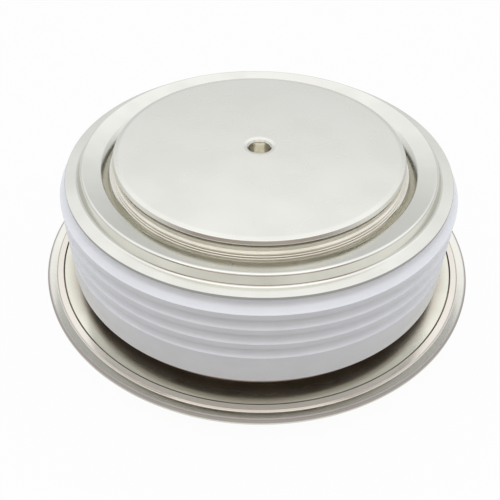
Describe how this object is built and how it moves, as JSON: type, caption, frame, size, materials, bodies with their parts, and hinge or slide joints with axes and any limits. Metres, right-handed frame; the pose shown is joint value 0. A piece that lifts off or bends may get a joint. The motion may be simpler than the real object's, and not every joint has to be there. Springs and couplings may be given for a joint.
{
  "type": "disc thyristor",
  "caption": "Flat round ceramic press-pack capsule with nickel-plated pole faces, a ribbed white ring, a welded metal rim and push-on gate terminals; switches heavy current.",
  "frame": {"origin": "centre of the cathode contact face, on the capsule's axis, at the bottom", "axes": "+Z along the axis from the cathode face to the anode face, +Y out along the gate tab"},
  "size_m": [0.075, 0.0819, 0.026],
  "materials": {
    "nickel_plate": "satin nickel plate on copper",
    "nickel_sheet": "bright nickel plate on pressed sheet",
    "alumina": "white glaze with a faint lavender cast",
    "molybdenum": "lapped matt grey",
    "silicon": "polished dark grey",
    "silicone": "matt white silicone rubber",
    "fluoroplastic": "matt off-white fluoroplastic",
    "spring_steel": "drawn spring wire",
    "silver_plate": "silver plate",
    "tin_plate": "bright tin plate on brass"
  },
  "bodies": {
    "root": {"cathode_pole": "nickel_plate", "anode_pole": "nickel_plate", "ceramic_ring": "alumina", "anode_diaphragm": "nickel_sheet", "weld_flange": "nickel_sheet", "cathode_flange": "nickel_sheet", "anode_moly_disc": "molybdenum", "silicon_wafer": "silicon", "cathode_moly_disc": "molybdenum", "edge_seal": "silicone", "locating_ring": "fluoroplastic", "gate_cup": "fluoroplastic", "gate_spring": "spring_steel", "gate_pin": "silver_plate", "gate_guide": "fluoroplastic", "gate_lead": "silver_plate", "gate_lead_cover": "fluoroplastic", "gate_tube": "nickel_sheet", "gate_tab": "tin_plate", "aux_cathode_tab": "tin_plate"}
  },
  "joints": []
}
